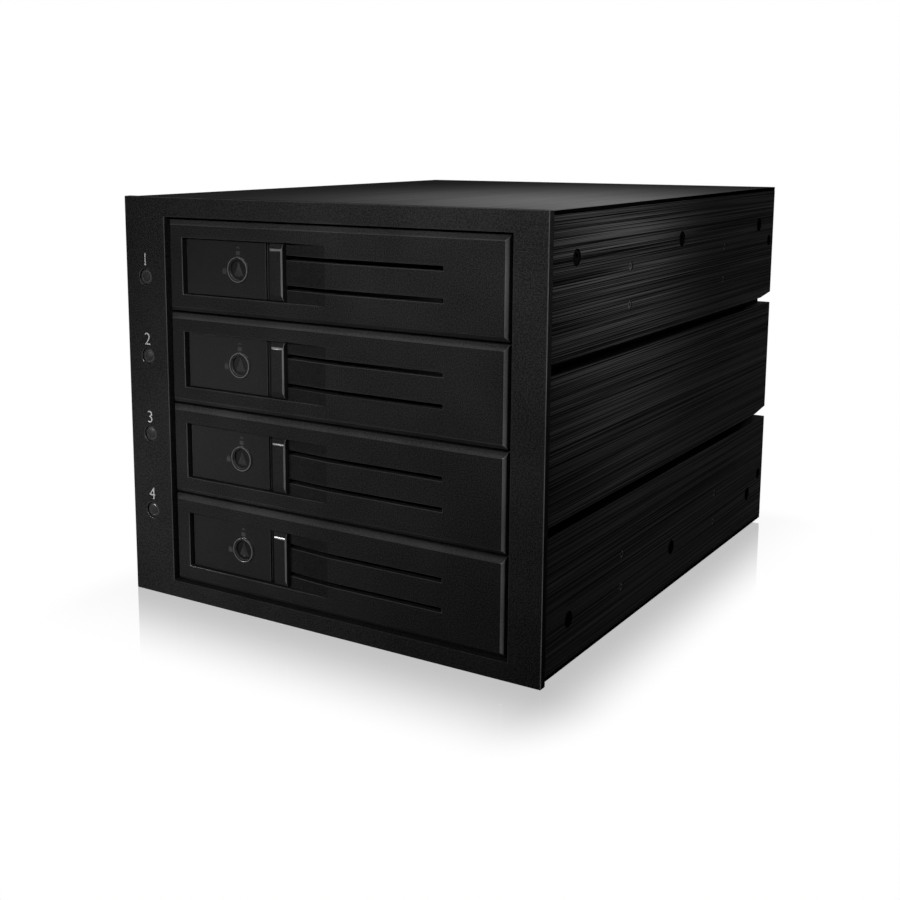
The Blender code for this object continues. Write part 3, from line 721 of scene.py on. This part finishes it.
def rounded(node, finish, edge, steps=EDGE_STEPS, change=None, worn_and_lit=slanted, sunk=None, sharp=SHARP,
            shortest=0.0):
    """Replaces a CAD node with a copy whose edges are rounded to catch the light, except its shortest."""
    bm = merged_copy(node)
    if change:
        change(bm)
    chosen = bm.edges.layers.float.new("bevel_weight_edge")
    for line in bm.edges:
        line[chosen] = float(line.calc_face_angle(0.0) > sharp and line.calc_length() > shortest)
    mesh = meshed(node, bm)
    soften(mesh, CREASE)
    bevel = {"width": edge, "segments": steps, "limit_method": "WEIGHT", "use_clamp_overlap": not shortest}
    flat_faces = {"mode": "FACE_AREA", "keep_sharp": True}
    mesh = baked(mesh, ("BEVEL", bevel), ("WEIGHTED_NORMAL", flat_faces))
    mark(mesh, WEAR_AND_HIGHLIGHT, worn_and_lit)
    if sunk:
        mark(mesh, PAINTED_SHADE, sunk)
    adopt(f"{node}_finished", mesh, finish, body_of(node), [node])


def ease_bar(bm):
    """Rounds the two edges where the bar's front slopes back to its ends."""
    least, most = BAR_END_SLOPE
    edges = []
    for edge in bm.edges:
        front, back = sorted((face.normal for face in edge.link_faces), key=lambda normal: normal.y)
        if edge.calc_length() > FACET_LONG and front.y < -RAMP and least < abs(back.z) < most:
            edges.append(edge)
    bmesh.ops.bevel(
        bm, geom=edges, offset=BAR_EASE, segments=EDGE_STEPS, profile=ROUND_PROFILE, affect="EDGES"
    )


def close_seam(bm):
    """Lets a side panel reach up and down to the covers, as folded sheets meet."""
    low = min(vert.co.z for vert in bm.verts)
    high = max(vert.co.z for vert in bm.verts)
    for vert in bm.verts:
        if vert.co.z < low + MERGE:
            vert.co.z -= SEAM_CLOSE
        elif vert.co.z > high - MERGE:
            vert.co.z += SEAM_CLOSE


def sink_front(bm):
    """Sets the bezel's face back by the thickness of the print on it."""
    front = min(vert.co.y for vert in bm.verts)
    for vert in bm.verts:
        if vert.co.y < front + MERGE:
            vert.co.y += PRINT_DEEP


def grid_layout():
    """Repeats a shape along two steps, such as screws in rows or contacts in a line."""
    layout = Layout("repeat_in_grid", {
        "Along Count": "NodeSocketInt", "Along Step": "NodeSocketVector",
        "Up Count": "NodeSocketInt", "Up Step": "NodeSocketVector",
    })
    along = layout.line(layout.given("Along Count"), layout.given("Along Step"))
    up = layout.line(layout.given("Up Count"), layout.given("Up Step"))
    row = layout.copies(layout.given("Geometry"), along)
    return layout.close(layout.copies(row, up))


def ring_layout():
    """Repeats a shape round the Y axis, such as a fan's blades."""
    layout = Layout("repeat_in_ring", {"Count": "NodeSocketInt"})
    count = layout.given("Count")
    turn = layout.node("GeometryNodeInputIndex", {}, {}) / count * TURN
    spin = layout.node("ShaderNodeCombineXYZ", {}, {"Y": turn})
    points = layout.line(count, NOWHERE)
    return layout.close(layout.copies(layout.given("Geometry"), points, Rotation=spin))


GRID = grid_layout()
RING = ring_layout()


def repeated(bm, layout, inputs, finish):
    mesh = meshed("unit", bm)
    soften(mesh)
    values = {**inputs, "Finish": FINISHES[finish].material}
    return baked(mesh, ("NODES", {"node_group": layout, "inputs": values}))


def in_rows(bm, columns, along, rows, up, finish):
    """A shape repeated in columns that are one step apart, and in rows that are another."""
    steps = {"Along Count": columns, "Along Step": along, "Up Count": rows, "Up Step": up}
    return repeated(bm, GRID, steps, finish)


def move(bm, place):
    bmesh.ops.translate(bm, verts=bm.verts, vec=place)
    return bm


def swing(bm, angle):
    """Turns a shape about the upright axis."""
    bmesh.ops.transform(bm, matrix=Matrix.Rotation(angle, 4, "Z"), verts=bm.verts)
    return bm


def turned(profile, steps=ROUND_STEPS):
    """A closed ring or disc turned round the Y axis from points of radius and depth."""
    bm = bmesh.new()
    line = [bm.verts.new((radius, depth, 0.0)) for radius, depth in profile]
    edges = [bm.edges.new(pair) for pair in zip(line, line[1:])]
    bmesh.ops.spin(bm, geom=line + edges, cent=NOWHERE, axis=(0, 1, 0), angle=TURN, steps=steps)
    bmesh.ops.remove_doubles(bm, verts=bm.verts, dist=MERGE)
    bmesh.ops.recalc_face_normals(bm, faces=bm.faces)
    return bm


def skinned(bm, loops):
    """Joins closed loops of corners, each to the next, and caps the first and the last."""
    for near, far in zip(loops, loops[1:]):
        for index in range(len(near)):
            after = (index + 1) % len(near)
            bm.faces.new((near[index], near[after], far[after], far[index]))
    bm.faces.new(loops[0])
    bm.faces.new(loops[-1])
    bmesh.ops.recalc_face_normals(bm, faces=bm.faces)
    return bm


def spoke(bm, radius, depth, turn):
    """A corner at a turn round the Y axis."""
    return bm.verts.new((radius * math.cos(turn), depth, radius * math.sin(turn)))


def swept_ring(profile, start, sweep, steps):
    """A closed section of radius and depth points carried round the Y axis, with its two ends capped."""
    bm = bmesh.new()
    turns = [start + sweep * step / steps for step in range(steps + 1)]
    return skinned(bm, [[spoke(bm, *point, turn) for point in profile] for turn in turns])


def slab(corners, front, back):
    """A flat outline of X and Z points, between two depths."""
    bm = bmesh.new()
    face = bm.faces.new([bm.verts.new((x, front, z)) for x, z in corners])
    pulled = bmesh.ops.extrude_face_region(bm, geom=[face])
    moved = [part for part in pulled["geom"] if isinstance(part, bmesh.types.BMVert)]
    bmesh.ops.translate(bm, verts=moved, vec=(0, back - front, 0))
    bmesh.ops.recalc_face_normals(bm, faces=bm.faces)
    return bm


def joined(*parts):
    whole = bmesh.new()
    for part in parts:
        mesh = meshed("part", part)
        whole.from_mesh(mesh)
        bpy.data.meshes.remove(mesh)
    return whole


def numeral(text, x, z, front):
    """A printed figure on the bezel, as a thin mesh."""
    curve = bpy.data.curves.new("figure", "FONT")
    curve.body = text
    curve.align_x = "CENTER"
    curve.extrude = PRINT_DEEP / 2
    curve.offset = -NUMERAL_THIN
    mesh = baked(curve)
    heights = [vert.co.y for vert in mesh.vertices]
    size = NUMERAL_TALL / (max(heights) - min(heights))
    mesh.transform(Matrix.Translation((0.0, -min(heights), 0.0)))
    mesh.transform(Matrix.Diagonal((size, size, 1.0, 1.0)))
    mesh.transform(Matrix.Rotation(math.pi / 2, 4, "X"))
    mesh.transform(Matrix.Translation((x, front + PRINT_DEEP / 2, z)))
    adopt(f"numeral_{text}", mesh, "print", "case")


def lens_profile(rim, deep):
    """Half the section of a light pipe: its barrel, the flange behind the bezel, the lip and a low dome."""
    barrel = rim - LENS_FLANGE_WIDE
    near, far = LENS_FLANGE
    profile = [(0.0, deep), (barrel, deep), (barrel, far), (rim, far), (rim, near), (barrel, near)]
    profile += [(barrel - inset, depth) for inset, depth in LENS_LIP]
    foot = LENS_LIP[-1][1]
    for step in range(1, LENS_DOME_STEPS + 1):
        rise = step / LENS_DOME_STEPS * math.pi / 2
        radius = (barrel - LENS_DOME_INSET) * math.cos(rise)
        profile.append((radius, foot - LENS_DOME * math.sin(rise)))
    return profile


def lights():
    """The column of status lights, each with its numeral above it."""
    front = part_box("front_bezel")[0].y
    for light in range(1, BAYS + 1):
        node = f"led_lens_{light}"
        low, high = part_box(node)
        centre = centre_of(node)
        lens = turned(lens_profile((high.x - low.x) / 2, high.y - low.y))
        move(lens, (centre.x, low.y, centre.z))
        add(f"{node}_finished", lens, "lens", "case", [node])
        numeral(str(light), centre.x, centre.z + NUMERAL_RISE, front)


def latch(bay):
    """Lever, lock ring, key plug with its arrow, and the two small marks beside the lock."""
    lever = f"latch_lever_{bay}"
    plug = f"lock_plug_{bay}"
    body = body_of(lever)
    low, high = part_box(lever)
    rounded(
        lever, "lever", LEVER_EDGE, FRONT_EDGE_STEPS, change=ease_bar, worn_and_lit=lever_wear(high),
        sunk=lever_neck(low, high), sharp=BAR_SHARP, shortest=FACET_LONG,
    )
    rounded(plug, "lock", SMALL_EDGE)
    low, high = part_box(plug)
    spot = Vector((centre_of(plug).x, low.y, low.z + (high.x - low.x) / 2))
    panel = panel_depth(lever)
    ring = swept_ring(LOCK_RING_PROFILE, TURN / 4 + LOCK_NOTCH, TURN - 2 * LOCK_NOTCH, LOCK_RING_STEPS)
    move(ring, (spot.x, panel, spot.z))
    add(f"lock_ring_{bay}", ring, "lock_ring", body)
    arrow = move(lock_arrow(), spot)
    add(f"lock_arrow_{bay}", arrow, "arrow", body_of(plug))
    shut = move(padlock(0.0), (spot.x - MARK_LEFT_RUN, panel, spot.z - MARK_SIZE / 2))
    free = move(padlock(MARK_SIZE * MARK_LIFT), (spot.x, panel, spot.z + MARK_TOP_RISE))
    add(f"lock_marks_{bay}", joined(shut, free), "faint_print", body)


def panel_depth(lever):
    """Depth of the lever's recessed panel: the face that most of its front-facing area lies on."""
    areas = {}
    for face in frame["nodes"][lever].data.polygons:
        if face.normal.y < -FORWARD:
            depth = round(face.center.y, DEPTH_DIGITS)
            areas[depth] = areas.get(depth, 0.0) + face.area
    return max(areas, key=areas.get)


def lock_arrow():
    """A raised three-sided point that shows which way the plug is turned."""
    bm = bmesh.new()
    base = [bm.verts.new((x, ARROW_SUNK, z)) for x, z in ARROW_CORNERS]
    edge = [bm.verts.new((x, 0.0, z)) for x, z in ARROW_CORNERS]
    peak = bm.verts.new((0.0, -ARROW_PROUD, 0.0))
    bm.faces.new(base)
    for index in range(len(base)):
        after = (index + 1) % len(base)
        bm.faces.new((base[index], base[after], edge[after], edge[index]))
        bm.faces.new((edge[index], edge[after], peak))
    bmesh.ops.recalc_face_normals(bm, faces=bm.faces)
    return bm


def padlock(lift):
    """A printed mark: a small block under a half ring, which is lifted where the lock is open."""
    half = MARK_SIZE / 2
    top = half * MARK_BLOCK_TOP
    block = slab([(-half, -half), (half, -half), (half, top), (-half, top)], -PRINT_DEEP, PRINT_DEEP)
    inner, outer = [half * share for share in MARK_SHACKLE]
    profile = [(outer, -PRINT_DEEP), (outer, PRINT_DEEP), (inner, PRINT_DEEP), (inner, -PRINT_DEEP)]
    shackle = swept_ring(profile, 0.0, TURN / 2, MARK_SHACKLE_STEPS)
    return joined(block, move(shackle, (0.0, 0.0, top + lift)))


def screw_head(radius, side):
    """A flat head with a hexagon socket, its axis along X and its face towards side."""
    bm = bmesh.new()
    turns = [TURN * step / SCREW_STEPS for step in range(SCREW_STEPS)]
    side_wall = [(radius, SCREW_TALL), (radius, SCREW_BEVEL)]
    face = [(radius - SCREW_BEVEL, 0.0), (SCREW_SOCKET_RIM, 0.0)]
    loops = [[spoke(bm, *point, turn) for turn in turns] for point in side_wall + face]
    for deep in (0.0, SCREW_SOCKET_DEEP):
        loops.append([spoke(bm, SCREW_SOCKET * hexagon(turn), deep, turn) for turn in turns])
    return swing(skinned(bm, loops), side * TURN / 4)


def hexagon(turn):
    """How far a hexagon reaches at a turn round the screw, where its corners reach 1."""
    past = turn % (TURN / 6)
    return math.cos(TURN / 12) / math.cos(past - TURN / 12)


def side_screws(word, side):
    """The black screws of one side, in the places of its CAD screws."""
    nodes = [f"{word}_screw_{index + 1}" for index in range(SCREW_COLUMNS * SCREW_ROWS)]
    first = centre_of(nodes[0])
    last = centre_of(nodes[-1])
    low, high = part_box(f"{word}_screw_1")
    face = high.x if side > 0 else low.x
    head = move(screw_head((high.z - low.z) / 2, side), (face, first.y, last.z))
    along = (0.0, (last.y - first.y) / (SCREW_COLUMNS - 1), 0.0)
    mesh = in_rows(head, SCREW_COLUMNS, along, SCREW_ROWS, (0.0, 0.0, first.z - last.z), "screw")
    adopt(f"{word}_screws_finished", mesh, "screw", "case", nodes)


def bay_nuts(word, side):
    """Threaded sleeves in the small holes that hold the rack in its case."""
    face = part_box(f"{word}_side_panel")[1 if side > 0 else 0].x
    near, far = BAY_HOLE_DEPTHS
    for row, (low, high) in enumerate(BAY_HOLE_ROWS):
        sleeve = swing(turned(NUT_PROFILE, NUT_STEPS), side * TURN / 4)
        move(sleeve, (face - side * NUT_SUNK, near, low))
        mesh = in_rows(sleeve, 2, (0.0, far - near, 0.0), 2, (0.0, 0.0, high - low), "nut")
        adopt(f"{word}_bay_nuts_{row + 1}", mesh, "nut", "case")


def contacts(node, front):
    """A row of gold contacts inside a connector's slot, which opens to the front or to the rear."""
    low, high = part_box(node)
    centre = (low + high) / 2
    count = int((high.x - low.x - CONTACT_MARGIN) / CONTACT_STEP)
    start = centre.x - (count - 1) * CONTACT_STEP / 2
    inward = CONTACT_INSET + CONTACT_LONG / 2
    middle = low.y + inward if front else high.y - inward
    bm = bmesh.new()
    size = Matrix.Diagonal((CONTACT_WIDE, CONTACT_LONG, CONTACT_TALL, 1.0))
    spot = Matrix.Translation((start, middle, centre.z - CONTACT_DROP))
    bmesh.ops.create_cube(bm, size=1.0, matrix=spot @ size)
    mesh = in_rows(bm, count, (CONTACT_STEP, 0.0, 0.0), 1, NOWHERE, "gold")
    adopt(f"{node}_contacts", mesh, "gold", "case")


def fan():
    """The fan's frame, and a hub and blades in place of its coarse rotor."""
    rounded("fan_frame", "inner", FAN_EDGE)
    low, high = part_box("fan_rotor")
    spot = next(joint for joint in frame["joints"] if joint["name"] == "fan_spin")["pos_m"]
    deep = high.y - low.y
    hub = turned([(0.0, deep), (FAN_HUB_R, deep), *FAN_HUB_FACE])
    move(hub, (spot[0], low.y, spot[2]))
    add("fan_hub", hub, "inner", "fan_rotor_body", ["fan_rotor"])
    blades = repeated(blade(), RING, {"Count": BLADES}, "inner")
    blades.transform(Matrix.Translation((spot[0], (low.y + high.y) / 2, spot[2])))
    adopt("fan_blades", blades, "inner", "fan_rotor_body")
    fan_screws()


def fan_screws():
    """Four screws at the corners of the fan's frame."""
    low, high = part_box("fan_frame")
    inset = (high.x - low.x - FAN_SCREW_STEP) / 2
    head = swing(turned(FAN_SCREW_HEAD), TURN / 2)
    move(head, (low.x + inset, high.y + FAN_SCREW_PROUD, low.z + inset))
    mesh = in_rows(head, 2, (FAN_SCREW_STEP, 0.0, 0.0), 2, (0.0, 0.0, FAN_SCREW_STEP), "screw")
    adopt("fan_screws", mesh, "screw", "case")


def blade():
    """One swept and twisted fan blade with a rounded section, standing out along X."""
    bm = bmesh.new()
    shares = [row / BLADE_ROWS for row in range(BLADE_ROWS + 1)]
    return skinned(bm, [blade_section(bm, share) for share in shares])


def blade_section(bm, share):
    """The corners round a blade, at a share of the way from its root to its tip."""
    radius = between(BLADE_SPAN, share)
    chord = between(BLADE_CHORD, share)
    turn = between(BLADE_TURN, share)
    loop = []
    for step in range(BLADE_STEPS):
        around = TURN * step / BLADE_STEPS
        along = chord / 2 * math.cos(around)
        camber = BLADE_CAMBER * chord * (1 - math.cos(around) ** 2)
        over = BLADE_THICK / 2 * math.sin(around) + camber
        across = along * math.cos(turn) - over * math.sin(turn)
        deep = along * math.sin(turn) + over * math.cos(turn)
        loop.append(spoke(bm, radius, deep * BLADE_FLATTEN, BLADE_SWEEP * share + across / radius))
    return loop


def case():
    """Finishes the bezel, the sheets, the boards and the doors with all that they carry."""
    rounded(
        "front_bezel", "bezel", BEZEL_EDGE, FRONT_EDGE_STEPS, change=sink_front, worn_and_lit=bezel_wear,
        sunk=bezel_rim,
    )
    for word, side in (("left", -1), ("right", 1)):
        rounded(f"{word}_side_panel", "side", SHEET_EDGE, change=close_seam, sunk=inside_panel)
        side_screws(word, side)
        bay_nuts(word, side)
        repainted(f"{word}_drive_guide", "inner")
    for node in ("top_cover", "bottom_cover"):
        rounded(node, "cover", SHEET_EDGE, sunk=sheet_edge)
    rounded("rear_plate", "cover", SHEET_EDGE)
    for node in ("backplane_board", "led_board"):
        rounded(node, "board", SMALL_EDGE)
    repainted("led_ribbon", "ribbon")
    # Near black, partly painted shade: the rod shows in the gaps between the doors
    repainted("hinge_rod", "screw")
    for bay in range(1, BAYS + 1):
        rounded(f"door_{bay}", "door", DOOR_EDGE, worn_and_lit=door_wear, sunk=on_ramp, shortest=FACET_LONG)
        latch(bay)
        # Near black, partly painted shade: the pin shows in the gap under the lever
        repainted(f"lever_pin_{bay}", "screw")
        repainted(f"lever_spring_{bay}", "steel")
        for name, front in ((f"drive_connector_{bay}", True), (f"data_port_{bay}", False)):
            rounded(name, "inner", SMALL_EDGE)
            contacts(name, front)
    for socket in ("power_socket_1", "power_socket_2"):
        rounded(socket, "cream", SMALL_EDGE)
        contacts(socket, False)


def floor_finish():
    """A glossy floor with the rack's shadow and mirror image, which fades to plain white further out."""
    finish = Finish("white_floor", Roughness=1.0, Specular_IOR_Level=0.0)
    dark, light = [(tone, tone, tone) for tone in FLOOR_PALE]
    finish.surface(Base_Color=finish.blend(finish.noise(FLOOR_CLOUD), dark, light))
    low, high = CAD_BOX
    spot = finish.place()
    before = finish.vector("DIVIDE", finish.vector("SUBTRACT", low, spot), FLOOR_REACH_FRONT_LEFT)
    beyond = finish.vector("DIVIDE", finish.vector("SUBTRACT", spot, high), FLOOR_REACH_BACK_RIGHT)
    away = finish.vector("MAXIMUM", finish.vector("MAXIMUM", before, beyond), NOWHERE)
    share = finish.node("ShaderNodeVectorMath", {"operation": "LENGTH"}, {0: away}, "Value").clamp()
    fade = share * share * (3.0 - 2.0 * share)
    white = finish.node("ShaderNodeEmission", {}, {"Color": WHITE, "Strength": 1.0})
    lit = Wire(finish, finish.shader.outputs["BSDF"])
    image = finish.node("ShaderNodeBsdfGlossy", {}, {"Color": WHITE, "Roughness": FLOOR_ROUGHNESS})
    seen = finish.seen()
    polished = finish.node("ShaderNodeMixShader", {}, {0: seen * FLOOR_MIRROR, 1: lit, 2: image})
    plain = fade * (1.0 - FLOOR_WHITE) + FLOOR_WHITE
    whole = finish.node("ShaderNodeMixShader", {}, {0: seen * plain, 1: polished, 2: white})
    finish.feed(finish.tree.nodes["Material Output"].inputs["Surface"], whole)
    return finish.material


def studio():
    """The floor, a world that looks white but lights little, and the lamps."""
    bm = bmesh.new()
    bmesh.ops.create_grid(bm, x_segments=1, y_segments=1, size=FLOOR_HALF)
    mesh = meshed("floor", bm)
    mesh.materials.append(floor_finish())
    floor = placed("floor", mesh)
    world = bpy.data.worlds.new("studio")
    bpy.context.scene.world = world
    world.use_nodes = True
    air = Paint(world.node_tree)
    back = world.node_tree.nodes["Background"]
    air.feed(back.inputs["Color"], WHITE)
    air.feed(back.inputs["Strength"], air.seen() * (1.0 - AMBIENT) + AMBIENT)
    for lamp_row in LAMPS:
        lamp(*lamp_row)


def aimed(name, data, place, ahead):
    """A lamp or camera at a place, looking along a direction."""
    holder = placed(name, data)
    holder.location = place
    holder.rotation_euler = ahead.to_track_quat("-Z", "Y").to_euler()
    return holder


def lamp(name, place, target, size, power, beam):
    """A square softbox with a grid in front of it, which keeps its light in a beam."""
    light = bpy.data.lights.new(name, "AREA")
    light.shape = "SQUARE"
    light.size = size
    light.energy = power
    light.spread = math.radians(beam)
    holder = aimed(name, light, place, Vector(target) - Vector(place))
    holder.visible_camera = False


def camera():
    lens = bpy.data.cameras.new("camera")
    lens.lens = CAMERA_LENS
    lens.sensor_width = CAMERA_SENSOR
    lens.shift_x, lens.shift_y = CAMERA_SHIFT
    bpy.context.scene.camera = aimed("camera", lens, CAMERA_AT, Vector(CAMERA_AHEAD))


case()
lights()
fan()
studio()
camera()
bpy.context.scene.view_settings.view_transform = "Standard"
